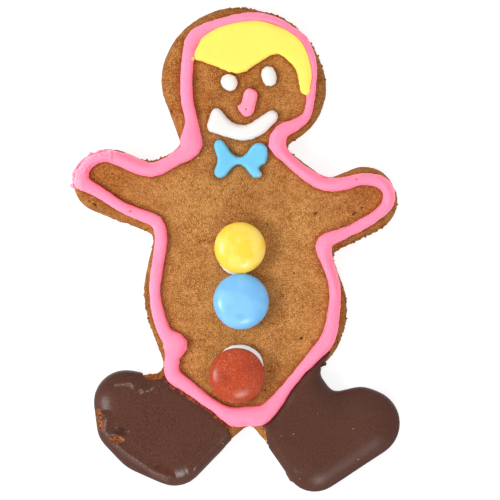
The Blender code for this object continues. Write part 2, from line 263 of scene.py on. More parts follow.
def reskin(bm, size):
    """Turn a body into one even skin of small quads."""
    mesh = bpy.data.meshes.new("skin")
    bm.to_mesh(mesh)
    holder = placed("skin", mesh)
    modifier = holder.modifiers.new("skin", "REMESH")
    modifier.mode = "VOXEL"
    modifier.voxel_size = size
    evaluated = holder.evaluated_get(bpy.context.evaluated_depsgraph_get())
    bm.clear()
    bm.from_mesh(evaluated.to_mesh())
    bpy.data.objects.remove(holder)
    bpy.data.meshes.remove(mesh)


def relax(bm, rounds):
    """Round off facets and hard edges."""
    for _ in range(rounds):
        bmesh.ops.smooth_vert(
            bm, verts=bm.verts, factor=0.5, use_axis_x=True, use_axis_y=True, use_axis_z=True)
    bm.normal_update()


def surface_tree(*objects):
    """Search tree of the surfaces of some objects, in millimetres."""
    bm = bmesh.new()
    for item in objects:
        bm.from_mesh(item.data)
    bmesh.ops.scale(bm, vec=(1 / MM,) * 3, verts=bm.verts)
    tree = BVHTree.FromBMesh(bm)
    bm.free()
    return tree


def surface(name):
    """Search tree of a finished piece."""
    return surface_tree(bpy.data.objects[name])


def packed_surface(*nodes):
    """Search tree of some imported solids."""
    return surface_tree(*(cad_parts[node] for node in nodes))


def flat_tree(points):
    """Search tree of points laid flat."""
    tree = KDTree(len(points))
    for index, point in enumerate(points):
        tree.insert((point.x, point.y, 0), index)
    tree.balance()
    return tree


def gap_to(tree, point):
    """Distance from a point to a surface."""
    return tree.find_nearest(point)[3]


def ground(tree, x, y):
    """Height of the surface under a place, or of its nearest edge where nothing is under it."""
    hit = tree.ray_cast(Vector((x, y, ABOVE)), -UP)[0]
    if hit is not None:
        return hit.z
    return tree.find_nearest(Vector((x, y, DOUGH_TOP - 1)))[0].z


def weights_of(bm, layer):
    """Weights from 0 to 1 that the corners of a body keep under a name."""
    layers = bm.verts.layers.float
    return layers.get(layer) or layers.new(layer)


def paint(bm, layer, spots):
    """Keep a weight round each spot of x, y, reach and strength."""
    weights = weights_of(bm, layer)
    for vert in bm.verts:
        for x, y, reach, strength in spots:
            gap = math.hypot(vert.co.x - x, vert.co.y - y)
            if gap < reach:
                vert[weights] = max(vert[weights], strength * eased(1 - gap / reach))


def press(bm, marks, layer=None, strength=1.0):
    """Push the upper surface in along routes of points, width and depth; a negative depth raises it."""
    weights = weights_of(bm, layer) if layer else None
    for route, width, depth in marks:
        (west, east), (south, north) = ((min(values) - width, max(values) + width) for values in zip(*route))
        for vert in bm.verts:
            x, y, _ = vert.co
            if vert.normal.z < 0 or not (west < x < east and south < y < north):
                continue
            weight = eased(1 - route_distance(vert.co, route) / width)
            if weight > 0:
                vert.co -= vert.normal * depth * weight
                if weights:
                    vert[weights] = max(vert[weights], strength * weight)


def finish(name, bm, made, slot, *nodes):
    """Put a body drawn in millimetres into the scene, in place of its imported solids."""
    bmesh.ops.recalc_face_normals(bm, faces=bm.faces)
    bmesh.ops.scale(bm, vec=(MM,) * 3, verts=bm.verts)
    mesh = bpy.data.meshes.new(name)
    bm.to_mesh(mesh)
    bm.free()
    mesh.shade_smooth()
    mesh.materials.append(made.material)
    piece = placed(name, mesh)
    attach(piece, BODY)
    if nodes:
        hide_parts(*nodes)
    return piece


# ---------------------------------------------------------------- finishes

class Finish:
    """A Principled material, the colour laid on it so far, and the few nodes that it is mixed from."""

    def __init__(self, name, colour=None, **sockets):
        self.material = bpy.data.materials.new(name)
        self.material.use_nodes = True
        self.tree = self.material.node_tree
        self.shader = self.tree.nodes["Principled BSDF"]
        self.colour = colour
        self.set(**sockets)
        self.place = self.node("TexCoord", {}, "Object")

    def feed(self, socket, value):
        """Link an output to a socket, or set the socket to a plain value."""
        if isinstance(value, bpy.types.NodeSocket):
            self.tree.links.new(value, socket)
        elif socket.type == "RGBA":
            socket.default_value = (*value[:3], 1.0)
        else:
            socket.default_value = value

    def set(self, **sockets):
        """Feed sockets of the shader, named in lower case."""
        for socket, value in sockets.items():
            name = socket.replace("_", " ").title().replace("Ior", "IOR")
            self.feed(self.shader.inputs[name], value)

    def node(self, kind, sockets, output=0, **settings):
        """Output of a new node with its settings made and its sockets fed."""
        node = self.tree.nodes.new(f"ShaderNode{kind}")
        for name, value in settings.items():
            setattr(node, name, value)
        for socket, value in sockets.items():
            self.feed(node.inputs[socket], value)
        return node.outputs[output]

    def grain(self, size, detail=2.0, offset=0.0):
        """Noise from 0 to 1 whose features are about size millimetres."""
        place = self.place
        if offset:
            shift = (offset, offset * 2, offset * 3)
            place = self.node("VectorMath", {0: place, 1: shift}, operation="ADD")
        return self.node("TexNoise", {"Vector": place, "Scale": 1 / (size * MM), "Detail": detail}, "Fac")

    def specks(self, spacing, radius, share_kept):
        """1 inside scattered round specks: their spacing and radius in millimetres, and the share kept."""
        distance = self.node("TexVoronoi", {"Vector": self.place, "Scale": 1 / (spacing * MM)}, "Distance")
        reach = radius / spacing
        round_spot = self.span(distance, reach, reach * 0.5)
        lot = self.node("SeparateColor", {0: distance.node.outputs["Color"]})
        return self.times(round_spot, self.span(lot, share_kept + 0.01, share_kept - 0.01))

    def weight(self, name):
        """Weight kept on the corners of the body."""
        return self.node("Attribute", {}, "Fac", attribute_name=name)

    def span(self, value, low, high, to_low=0.0, to_high=1.0):
        """Value eased from low and high to two other ends."""
        sockets = dict(enumerate((value, low, high, to_low, to_high)))
        return self.node("MapRange", sockets, interpolation_type="SMOOTHSTEP")

    def sum(self, operation, first, second):
        """Arithmetic on two values."""
        return self.node("Math", {0: first, 1: second}, operation=operation)

    def times(self, first, second):
        return self.sum("MULTIPLY", first, second)

    def plus(self, first, second):
        return self.sum("ADD", first, second)

    def mix(self, factor, first, second):
        """Colour between two colours."""
        return self.node("Mix", {0: factor, 6: first, 7: second}, 2, data_type="RGBA")

    def lay(self, factor, tone):
        """Lay a tone over the colour so far."""
        self.colour = self.mix(factor, self.colour, tone)
        self.set(base_color=self.colour)

    def lay_weighted(self, layer, strength, tone):
        """Lay a tone over the colour so far where the body keeps a weight."""
        self.lay(self.times(self.weight(layer), strength), tone)

    def relief(self, height, depth, strength):
        """Fine relief under the finish, depth in millimetres."""
        bump = self.node("Bump", {"Strength": strength, "Distance": depth * MM, "Height": height})
        self.set(normal=bump)


def crumb_grain(made):
    """Fine uneven grain of baked dough, from 0 in its darkest to 1 in its palest."""
    broad = made.times(made.grain(3.2, 3, 12), 0.24)
    coarse = made.times(made.grain(0.95, 3, 1), 0.3)
    fine = made.times(made.grain(0.27, 1, 2), 0.7)
    return made.span(made.plus(broad, made.plus(coarse, fine)), 0.464, 0.784)


def dough_finish(look):
    """Baked gingerbread: fine grain, ground spice, browner at its sides, stained and painted shade beside the
    icing, a painted shadow beside the sweets and painted shade in its pits.
    """
    made = Finish("baked gingerbread", roughness=0.85, specular_ior_level=0.12)
    grain = crumb_grain(made)
    made.colour = made.mix(grain, look.dark, look.pale)
    side = made.mix(grain, look.browned_dark, look.browned_pale)
    made.lay(made.span(made.grain(12, 2, 3), 0.35, 0.7, 0.0, 0.3), side)
    uneven = made.span(made.grain(2.2, 3, 4), 0.2, 0.75, 0.6, 1.0)
    made.lay_weighted("browned", uneven, side)
    # Stain and painted shade beside the icing, and a painted shadow beside the sweets
    made.lay_weighted("damp", 0.5, look.damp)
    for spacing, radius, kept, strength, tone in (
        (0.52, 0.17, 0.55, 0.68, look.rust), (0.46, 0.15, 0.45, 0.45, look.sugar),
        (0.9, 0.18, 0.34, 0.75, look.spice), (1.7, 0.25, 0.25, 0.85, look.spice),
        (1.1, 0.16, 0.24, 0.8, look.sugar),
    ):
        made.lay(made.times(made.specks(spacing, radius, kept), strength), tone)
    # Painted shade in the bottoms of pits and splits, with a ragged edge
    ragged = made.span(made.grain(0.5, 2, 8), 0.3, 0.5, 0.5, 0.9)
    made.lay(made.times(made.span(made.weight("pit"), 0.2, 0.8), ragged), look.pit)
    height = made.plus(made.grain(1.1, 2, 5), made.times(made.grain(0.26, 3, 6), 0.8))
    made.relief(made.sum("SUBTRACT", height, made.specks(1.7, 0.25, 0.25)), 0.09, 0.8)
    return made


def icing_finish(name, colour, deep, glow):
    """Set sugar icing: satin, kept bright in shade by a painted glow, with painted shade in a deeper tone at
    its edges and the faint grain of sugar.
    """
    # Painted light: the emission keeps the icing bright where it is shaded
    made = Finish(
        name, colour, roughness=0.55, specular_ior_level=0.2, subsurface_weight=0.75,
        subsurface_scale=0.0018, subsurface_radius=(1.0, 0.6, 0.65), emission_color=glow,
        emission_strength=1.0)
    made.lay(made.span(made.grain(6, 2, 1), 0.4, 0.75, 0.0, 0.14), deep)
    made.lay(made.span(made.grain(0.45, 2, 2), 0.35, 0.7, 0.0, 0.12), deep)
    # Painted shade at the edges and foot of the bead
    made.lay_weighted("edge", 0.55, deep)
    made.relief(made.plus(made.grain(0.4, 2, 3), made.grain(1.6, 1, 4)), 0.035, 0.6)
    return made


def shell_finish(name, colour, pale, mottle, amount, roughness):
    """Polished sugar shell over a sweet, mottled where the colour took unevenly."""
    made = Finish(
        name, colour, roughness=roughness, specular_ior_level=0.5, subsurface_weight=0.15,
        subsurface_scale=0.001)
    made.lay(made.span(made.grain(mottle, 2, 1), 0.4, 0.64, 0.0, amount), pale)
    made.relief(made.grain(1.1, 3, 2), 0.04, 0.6)
    return made


def chocolate_finish(name, look, bloom, gloss):
    """Set dark chocolate with a soft sheen, thin and reddish at its edge, bare where it chipped; painted
    light on its steep sides, painted shade in its hollows and a painted highlight along its fold.
    """
    made = Finish(name, look.dark, specular_ior_level=0.45)
    made.lay(made.span(made.grain(0.28, 1, 1), 0.36, 0.64, 0.0, bloom), look.bloom)
    made.lay(made.span(made.grain(14, 2, 2), 0.4, 0.75, 0.0, 0.15), look.bloom)
    made.lay(made.times(made.specks(2.6, 0.14, 0.3), 0.4), look.bloom)
    # Painted light on the steep sides of the coat
    made.lay_weighted("wall", 0.6, look.rim)
    made.lay(made.weight("thin"), look.thin)
    # Painted shade in hollows and behind high places
    made.lay(made.weight("deep"), look.deep)
    # Scratches, and a painted highlight along the fold
    made.lay_weighted("scuff", made.span(made.grain(0.4, 2, 9), 0.4, 0.6, 0.1, 0.8), look.scuff)
    ragged = made.plus(made.weight("bare"), made.span(made.grain(0.8, 3, 5), 0.2, 0.8, -0.25, 0.3))
    ragged = made.span(ragged, 0.3, 0.5)
    bare = made.mix(made.span(made.grain(0.7, 3, 7), 0.4, 0.62), look.bare_dark, look.bare)
    made.lay(ragged, bare)
    steep = made.times(made.weight("wall"), 0.45)
    made.set(roughness=made.plus(made.span(ragged, 0.0, 1.0, gloss, 0.6), steep))
    height = made.plus(made.grain(0.5, 2, 3), made.times(made.grain(3.0, 2, 4), 1.5))
    made.relief(made.plus(height, made.times(ragged, made.grain(0.5, 3, 6))), 0.016, 0.5)
    return made


# ---------------------------------------------------------------- dough

STEEP = 0.35  # corners whose normal rises less than this stand on a side

# Stretches of the cut edge that came away rough: x, y, reach and strength
ROUGH_EDGE = [
    (2, 65, 12, 0.8), (12, 62, 8, 0.9), (21, 54, 9, 0.7), (24, 43, 7, 0.5), (15, 27, 5, 0.5),
    (36, 1.5, 9, 1.0), (28, -1, 6, 0.9), (-28, 3.5, 10, 0.45), (28, -18, 14, 0.8), (-23.5, -16, 14, 0.6),
    (-21, -33, 5, 1.0), (-21.5, 24.6, 4.5, 0.8), (43, 14, 6, 0.3),
]

# Pits in the top: route, width and depth
PITS = [
    (((17.4, -23.8), (17.8, -23.6)), 0.75, 0.45), (((9.1, -32.4), (9.3, -32.5)), 0.6, 0.4),
    (((7.9, -37.7), (8.0, -37.6)), 0.55, 0.35), (((21.2, 9.7), (21.9, 9.9)), 0.6, 0.35),
    (((-39.5, 13.1), (-39.2, 12.8)), 0.45, 0.3), (((-38.3, 12.3), (-37.4, 11.8)), 0.5, 0.35),
    (((15.6, -6.2), (15.7, -6.4)), 0.5, 0.3), (((26.2, -11.0), (26.3, -11.2)), 0.4, 0.25),
    (((8.5, -2.9), (8.7, -3.0)), 0.45, 0.25), (((-5.6, 13.6), (-5.4, 13.5)), 0.5, 0.25),
    (((2.4, 16.8), (2.5, 16.7)), 0.45, 0.25), (((-13.2, -12.2), (-13.1, -12.4)), 0.5, 0.3),
    (((13.3, 45.5), (13.4, 45.4)), 0.5, 0.3), (((12.2, 41.2), (12.4, 41.1)), 0.5, 0.3),
    (((-17.4, 37.5), (-17.1, 36.9)), 0.4, 0.25), (((-7.4, 35.7), (-7.3, 35.5)), 0.5, 0.3),
    (((31.5, 9.4), (32.2, 10.2)), 0.55, 0.3), (((33.8, 11.2), (34.2, 11.5)), 0.5, 0.25),
    (((-26.5, 21.0), (-26.0, 20.5)), 0.45, 0.2), (((-18.6, 16.4), (-18.3, 16.3)), 0.5, 0.25),
]

# Parts of the top that baked darker: x, y, reach and strength
TOASTED = [
    (3, 49, 26, 0.95), (-19, 48, 12, 1.0), (-17, 38, 9, 1.0), (-8, 40, 9, 1.0), (-14, 56, 9, 0.9),
    (-36, 17, 18, 1.0), (36, 12, 18, 0.8), (0, -42, 16, 0.5), (1, 13, 8, 0.4), (14, 22, 9, 0.3),
    (-12, 26, 10, 0.3), (24, -14, 9, 0.35), (13, -32, 7, 0.5),
]

BROWN_EDGE = 5.5  # how far in from its edge the top is browned
COATED = 0.3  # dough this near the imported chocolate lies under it, and is drawn in

# Splits along the left side of the belly, where the dough's skin lifted: route, width and depth
SPLITS = [
    (((-23.9, -6.5), (-24.0, -11.5), (-23.4, -16.5), (-21.9, -21.5)), 0.55, 0.5),
    (((-24.4, -12.0), (-23.6, -19.5), (-22.0, -26.0)), 0.4, 0.35),
    (((31.0, 4.0), (37.0, 7.2), (40.0, 9.6)), 0.5, 0.3),
]


def roughness_at(point):
    """How rough the cut edge is, from 0 to 1."""
    most = 0.0
    for x, y, reach, strength in ROUGH_EDGE:
        most = max(most, strength * eased(1.4 - 1.4 * math.hypot(point.x - x, point.y - y) / reach))
    return most


class GINGERBREAD_OT_dough(bpy.types.Operator):
    """Bake the dough: an uneven cut edge, a softly swollen top, pits, splits and an open crumb"""
    bl_idname = "gingerbread.dough"
    bl_label = "Dough"

    def execute(self, context):
        look = context.scene.gingerbread_dough
        bm = packed("biscuit")
        reskin(bm, look.skin / MM)
        relax(bm, 5)
        rim = flat_tree([vert.co for vert in bm.verts if abs(vert.normal.z) < STEEP])
        icing = packed_surface(*[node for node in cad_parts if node.startswith("icing")])
        sweets = packed_surface("sweet_top", "sweet_middle", "sweet_bottom")
        coat = packed_surface("chocolate_foot_left", "chocolate_foot_right")
        browned = weights_of(bm, "browned")
        damp = weights_of(bm, "damp")
        for vert in bm.verts:
            point, normal = vert.co.copy(), vert.normal.copy()
            wall = 1 - abs(normal.z)
            from_rim = rim.find((point.x, point.y, 0))[2]
            rough = roughness_at(point)
            # Along the cut edge: waves, then coarse and fine crumbs that stand out where it is rough
            push = wall * (look.wobble / MM) * (ripple(point, 6.5) + 0.6 * ripple(point, 2.3, 5))
            push += wall * (0.25 + rough) * (look.crumb / MM) * ripple(point, 1.1, 9)
            push += wall * (0.1 + rough) * 0.8 * (look.crumb / MM) * ripple(point, 0.7, 11)
            # On the top: swellings, fine grain, and crumbs lost near the rough edge; below: shallow hollows
            if normal.z > 0:
                push += normal.z * (look.swell / MM) * (ripple(point, 11, 3) + 0.25 * ripple(point, 1.6, 7))
                push += normal.z * 0.025 * ripple(point, 0.8, 8)
                push -= normal.z * rough * eased(1 - from_rim / 2.4) * 0.4 * abs(ripple(point, 1.2, 13))
            else:
                push -= abs(normal.z) * 0.12 * max(0.0, ripple(point, 2.6, 15))
            from_icing = gap_to(icing, point)
            if gap_to(coat, point) < COATED:
                push -= (0.2 + 0.35 * max(0.0, normal.z)) * eased(from_icing / 3)
            vert.co = point + normal * push
            vert.co.z = max(0.0, vert.co.z)
            edge = eased(1 - from_rim / BROWN_EDGE)
            vert[browned] = min(1.0, max(wall, 0.6 * edge) + 0.35 * rough * edge)
            # Beside the icing the dough is darker, partly stain and partly painted shade; beside the sweets
            # it has a fainter, wider painted shadow
            beside_icing = math.exp(-max(0.0, from_icing - 0.35) / 0.5)
            sweet_shadow = 0.24 * math.exp(-max(0.0, gap_to(sweets, point) - 2.0) / 2.0)
            vert[damp] = max(beside_icing, sweet_shadow)
        bm.normal_update()
        paint(bm, "browned", TOASTED)
        # Pits and splits also carry a weight of painted shade
        press(bm, PITS, "pit")
        press(bm, SPLITS, "pit", 0.55)
        finish("baked_dough", bm, dough_finish(look), "baked_dough", "biscuit")
        return {"FINISHED"}


# ---------------------------------------------------------------- icing

MOST_HANG = 2.6  # how far icing can hang over the shoulder of the dough
SLUMP = 0.85  # share of the way down to the dough that icing follows
NUB_HEIGHT = 0.6  # height over the dough of the middle of a lump on the border

# Torn stretch of the border at the tip of the left arm, along its outer half
TORN = ((-33.2, 26.9), (-37.5, 26.2), (-41.2, 23.9), (-43.0, 21.0), (-43.4, 18.3))
TORN_WIDTH = 2.0

# Lumps on the border: x, y, radius
BORDER_NUBS = [
    (-44.0, 17.2, 0.5), (-43.7, 20.4, 0.4), (-43.3, 17.0, 0.7), (-38.9, 26.0, 0.5), (-36.6, 26.5, 0.5),
    (-13.9, -24.7, 1.1), (-13.8, -26.2, 1.1), (-15.4, -30.3, 0.7),
]

# Folds in the border: route, width, depth
FOLDS = [
    (((-13.6, 54.9), (-11.6, 54.3), (-10.2, 54.9)), 0.8, 0.12),
    (((-32.7, 27.2), (-32.9, 25.8), (-32.7, 24.4)), 0.5, 0.25), (((-33.5, 27.0), (-33.6, 24.5)), 0.45, -0.3),
    (((-36.4, 25.0), (-33.8, 24.6)), 0.45, -0.28), (((-37.6, 25.6), (-40.2, 24.0)), 0.45, -0.25),
    (((-39.0, 23.7), (-41.0, 20.6)), 0.45, -0.25), (((-42.6, 21.5), (-42.9, 18.6)), 0.45, -0.28),
    (((-36.0, 24.0), (-38.5, 22.8), (-40.0, 20.5)), 0.5, 0.15),
]

# Uneven ends and edges of the hair, and the drop beside it: x, y, height over the dough, radius
HAIR_NUBS = [
    (-11.4, 51.3, 1.7, 0.36), (18.3, 42.6, 0.8, 0.8), (19.2, 42.7, 0.9, 0.75), (0.1, 47.8, 0.6, 0.5),
    (-3.6, 48.8, 0.6, 0.45), (2.8, 48.3, 0.6, 0.45), (-1.7, 48.0, 0.6, 0.45),
]


def settle(bm, tree, sink):
    """Let a body of icing follow the dough under it and sit a little way into it."""
    for vert in bm.verts:
        x, y, z = vert.co
        drop = min(MOST_HANG, max(0.0, DOUGH_TOP - 0.1 - ground(tree, x, y)))
        low = eased(1 - (z - ICING_BASE) / 0.8)
        vert.co.z = z - SLUMP * drop - sink * low


def swell(bm, amount, reach, nodes):
    """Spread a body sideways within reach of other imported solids, and square its shoulder, to meet them."""
    tree = packed_surface(*nodes)
    top = max(vert.co.z for vert in bm.verts)
    for vert in bm.verts:
        weight = eased(1.2 - gap_to(tree, vert.co) / reach)
        if weight > 0:
            vert.co += level(vert.normal) * amount * weight
            if vert.normal.z > 0.05 and top - vert.co.z < 1.2:
                vert.co.z += 0.75 * weight * (top - vert.co.z)
    bm.normal_update()


def waver(bm, look, seed):
    """Uneven hand of the piping."""
    amount = look.waver / MM
    for vert in bm.verts:
        point, normal = vert.co.copy(), vert.normal
        low = eased(1.6 - (point.z - ICING_BASE))  # the foot of the bead strays more than its crown
        push = 0.5 * amount * ripple(point, 4, seed) + 1.3 * low * amount * ripple(point, 2.0, seed + 2)
        push += 0.5 * low * amount * ripple(point, 1.1, seed + 4)
        push += 0.12 * amount * ripple(point, 0.8, seed + 6)
        vert.co = point + normal * push


def icing_body(node, look, tree, seed, skin, nubs=(), near=(), rounds=3):
    """Soft body of one icing solid, settled on the dough, with its edges kept as a weight for painted shade.
    """
    bm = packed(node)
    for x, y, z, radius in nubs:
        add_blob(bm, x, y, ICING_BASE + z, radius)
    reskin(bm, skin)
    relax(bm, rounds)
    if near:
        swell(bm, 0.4, 1.3, near)
    # The edge weight marks where the icing gets painted shade
    edge = weights_of(bm, "edge")
    for vert in bm.verts:
        vert[edge] = eased(1.25 - (vert.co.z - ICING_BASE) / 0.9) * eased(1.6 - 1.6 * abs(vert.normal.z))
    settle(bm, tree, look.sink / MM)
    relax(bm, 1)
    waver(bm, look, seed)
    return bm


class GINGERBREAD_OT_border(bpy.types.Operator):
    """Pipe the pink border, torn at the tip of one arm, and let it hang over the dough's shoulder"""
    bl_idname = "gingerbread.border"
    bl_label = "Border"

    def execute(self, context):
        look = context.scene.gingerbread_icing
        tree = surface("baked_dough")
        nubs = [(x, y, NUB_HEIGHT, radius) for x, y, radius in BORDER_NUBS]
        bm = icing_body("icing_border", look, tree, 1, look.skin / MM, nubs, ["icing_hair"], 7)
        torn = weights_of(bm, "torn")
        for vert in bm.verts:
            point = vert.co
            weight = eased(1.5 - 1.5 * route_distance(point, TORN) / TORN_WIDTH)
            if weight > 0:
                vert[torn] = weight
                crumple = abs(ripple(point, 1.5, 21)) + 0.6 * abs(ripple(point, 0.7, 23)) - 0.25
                side = level(vert.normal) * (0.2 + 0.25 * ripple(point, 2.5, 25))
                vert.co = point + weight * (0.45 * crumple * max(0.0, vert.normal.z) * UP + side)
        bm.normal_update()
        press(bm, FOLDS)
        made = icing_finish("pink icing", look.pink, look.pink_deep_and_shade, look.pink_painted_glow)
        streaks = made.mix(made.span(made.grain(0.45, 3, 8), 0.42, 0.58), look.pink, look.pink_pale)
        made.lay_weighted("torn", 0.9, streaks)
        finish("piped_border", bm, made, "pink_icing", "icing_border")
        return {"FINISHED"}


class GINGERBREAD_OT_hair(bpy.types.Operator):
    """Flood the yellow hair up to the border, with the drop that ran onto it"""
    bl_idname = "gingerbread.hair"
    bl_label = "Hair"

    def execute(self, context):
        look = context.scene.gingerbread_icing
        tree = surface("baked_dough")
        bm = icing_body("icing_hair", look, tree, 5, 0.3, HAIR_NUBS, ["icing_border"])
        border = surface("piped_border")
        rim = weights_of(bm, "rim")
        for vert in bm.verts:
            vert[rim] = eased(1 - gap_to(border, vert.co) / 0.55)
        made = icing_finish("yellow icing", look.yellow, look.yellow_deep_and_shade, look.yellow_painted_glow)
        made.lay_weighted("rim", 0.5, look.pink_deep_and_shade)
        finish("hair_icing", bm, made, "yellow_icing", "icing_hair")
        return {"FINISHED"}


class GINGERBREAD_OT_face(bpy.types.Operator):
    """Pipe the eyes, the smile and the nose"""
    bl_idname = "gingerbread.face"
    bl_label = "Face"

    def execute(self, context):
        look = context.scene.gingerbread_icing
        tree = surface("baked_dough")
        white = icing_finish("white icing", look.white, look.white_deep_and_shade, look.white_painted_glow)
        nubs = {"smile": [(-6.4, 32.0, 0.4, 0.45)]}
        for index, part in enumerate(("eye_left", "eye_right", "smile")):
            bm = icing_body(f"icing_{part}", look, tree, 7 + index, 0.24, nubs.get(part, ()))
            finish(f"{part}_icing", bm, white, "white_icing", f"icing_{part}")
        bm = icing_body("icing_nose", look, tree, 12, 0.22, [(1.3, 38.3, 0.6, 0.8), (2.7, 36.7, 0.6, 0.9)])
        press(bm, [(((2.8, 37.8), (2.9, 37.8)), 0.45, 0.35)])
        pink = icing_finish("nose icing", look.nose, look.pink_deep_and_shade, look.pink_painted_glow)
        finish("nose_icing", bm, pink, "pink_icing", "icing_nose")
        return {"FINISHED"}


class GINGERBREAD_OT_bow_tie(bpy.types.Operator):
    """Pipe the blue bow tie, its lower tip broken and pale"""
    bl_idname = "gingerbread.bow_tie"
    bl_label = "Bow tie"

    def execute(self, context):
        look = context.scene.gingerbread_icing
        bm = icing_body("icing_bow_tie", look, surface("baked_dough"), 15, 0.24)
        paint(bm, "broken", [(7.0, 20.4, 1.6, 1.0)])
        broken = weights_of(bm, "broken")
        for vert in bm.verts:
            vert.co += vert.normal * vert[broken] * 0.35 * ripple(vert.co, 0.8, 17)
        made = icing_finish("blue icing", look.blue, look.blue_deep_and_shade, look.blue_painted_glow)
        made.lay_weighted("broken", 0.6, look.white)
        finish("bow_tie_icing", bm, made, "blue_icing", "icing_bow_tie")
        return {"FINISHED"}


# ---------------------------------------------------------------- sweets

# Tilt of each sweet about X and about Y, in degrees
SWEET_TILTS = {"top": (2.0, -1.5), "middle": (-1.0, 1.5), "bottom": (2.5, 2.0)}
SWEET_ROUNDING = 0.9  # power of the outline; below 1, it is fuller than an ellipse
SWEET_STEPS = 40
SWEET_TURNS = 96


def sweet_body(node, tilt):
    """Lentil turned about its own axis to the size of a packed sweet, and set in its place."""
    low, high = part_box(node)
    middle = (low + high) / (2 * MM)
    radius = (high.x - low.x) / (2 * MM)
    turn = Euler((math.radians(tilt[0]), math.radians(tilt[1]), 0))
    half = (high.z - low.z) / (2 * MM) - radius * 0.06 * math.hypot(*tilt) / 3
    bm = bmesh.new()
    verts = []
    for step in range(SWEET_STEPS + 1):
        angle = math.pi * step / SWEET_STEPS
        across = radius * math.sin(angle) ** SWEET_ROUNDING if 0 < step < SWEET_STEPS else 0.0
        verts.append(bm.verts.new((across, 0, half * math.cos(angle))))
    edges = [bm.edges.new(pair) for pair in zip(verts, verts[1:])]
    bmesh.ops.spin(
        bm, geom=verts + edges, cent=(0, 0, 0), axis=UP, dvec=(0, 0, 0), angle=math.tau,
        steps=SWEET_TURNS, use_merge=True)
    bmesh.ops.remove_doubles(bm, verts=bm.verts, dist=1e-4)
    bmesh.ops.recalc_face_normals(bm, faces=bm.faces)
    bm.normal_update()
    for vert in bm.verts:
        vert.co += vert.normal * (0.06 * ripple(vert.co, 5, radius) + 0.012 * ripple(vert.co, 1.4, radius))
    bmesh.ops.transform(bm, matrix=Matrix.Translation(middle) @ turn.to_matrix().to_4x4(), verts=bm.verts)
    return bm


class GINGERBREAD_OT_sweets(bpy.types.Operator):
    """Set the three sugar-shelled sweets on their dabs of white icing"""
    bl_idname = "gingerbread.sweets"
    bl_label = "Sweets"

    def execute(self, context):
        look = context.scene.gingerbread_sweets
        icing = context.scene.gingerbread_icing
        tree = surface("baked_dough")
        red = shell_finish("red-brown shell", look.red, look.red_dull, 5.0, 0.6, 0.28)
        patch = red.span(red.grain(3.0, 2, 6), 0.35, 0.65, 0.3, 0.9)
        rubbed = red.sum("MAXIMUM", red.specks(0.5, 0.14, 0.55), red.span(red.grain(0.3, 3, 5), 0.54, 0.66))
        red.lay(red.times(rubbed, patch), look.red_worn)
        yellow = shell_finish("yellow shell", look.yellow, look.yellow_pale, 4.0, 0.75, 0.25)
        blue = shell_finish("blue shell", look.blue, look.blue_pale, 6.0, 0.8, 0.25)
        shells = (
            ("top", "yellow_shell", yellow), ("middle", "blue_shell", blue),
            ("bottom", "red_brown_shell", red))
        # The dabs get a stronger painted glow, which lights them where the sweets shade them
        white = icing_finish("dab icing", icing.white, icing.white_deep_and_shade, icing.dab_painted_glow)
        for seed, (place, slot, made) in enumerate(shells):
            body = sweet_body(f"sweet_{place}", SWEET_TILTS[place])
            finish(f"{place}_sweet", body, made, slot, f"sweet_{place}")
            dab = icing_body(f"icing_dab_{place}", icing, tree, 20 + seed, 0.26)
            for vert in dab.verts:
                vert.co.z += icing.squeeze * max(0.0, vert.co.z - ICING_BASE)
            finish(f"{place}_dab", dab, white, "white_icing", f"icing_dab_{place}")
        return {"FINISHED"}


# ---------------------------------------------------------------- chocolate

RIM_LOW, RIM_HIGH = 2.8, 5.0  # the side of the coat between these heights gives the place of its rim
ROUNDED = 5.0  # depth under the top within which the coat rounds off
BLEND = 0.6  # heights closer than this blend into each other
SLIVER = {"left": 0.45, "right": 0.0}  # least bareness of the coat right beside the border
BARE_ABOVE = 5.0  # height over which bare dough can show

# Lumps of the right coat, on the ankle and at the toe: x, y, z, radius
LUMPS = [
    (23.3, -30.4, 6.0, 1.0), (24.0, -30.6, 5.0, 0.75), (14.6, -60.2, 1.6, 1.1), (15.3, -61.4, 1.6, 1.1),
    (16.9, -62.5, 1.6, 1.1),
]

# Crest of the fold that runs along the outside of the left foot
FOLD = (
    (-34.7, -45.4), (-34.9, -46.8), (-35.3, -48.4), (-32.8, -51.7), (-29.8, -54.3), (-26.2, -56.8),
    (-22.1, -59.7), (-18.4, -61.4))

# Raised and sunken marks in the left coat: route, width, depth
CHOCOLATE_MARKS = [
    (FOLD, 0.9, -0.5), (((-31.4, -48.5), (-29.7, -48.8)), 1.2, 0.7),
    (((-33.6, -49.2), (-31.9, -49.6), (-30.0, -50.2)), 0.7, -0.3),
    (((-20.9, -58.4), (-18.9, -59.8)), 1.6, 0.2),
]

# Scratches in the left coat: route, width, depth
SCUFFS = [
    (((-32.2, -36.3), (-29.6, -36.1), (-28.0, -36.5), (-27.6, -37.2)), 0.45, -0.16),
    (((-29.4, -36.0), (-28.2, -36.0), (-27.5, -36.6)), 0.4, -0.12),
    (((-25.9, -37.9), (-25.2, -37.6), (-24.8, -38.1), (-25.4, -38.5)), 0.45, -0.16),
    (((-23.9, -38.0), (-23.0, -37.7), (-22.1, -37.0)), 0.42, -0.14),
]

# Where the left coat chipped off and dough shows: route, width, depth
CHIPS = [
    (((-36.9, -43.5), (-36.8, -45.4), (-36.3, -47.2)), 1.7, 0.25),
    (((-32.8, -50.8), (-30.9, -51.0)), 1.5, 0.35),
]

# Edges where the coat stays flat nearly to its rim: route, reach
FLAT_EDGES = {
    "left": [(((-8.4, -57.4), (-3.4, -49.2), (-2.0, -46.0)), 3.0),
             (((-37.0, -44.6), (-36.8, -45.8), (-36.2, -47.4)), 1.2)],
    "right": [(((6.2, -49.6), (8.8, -52.8), (11.0, -55.6)), 5.0)],
}

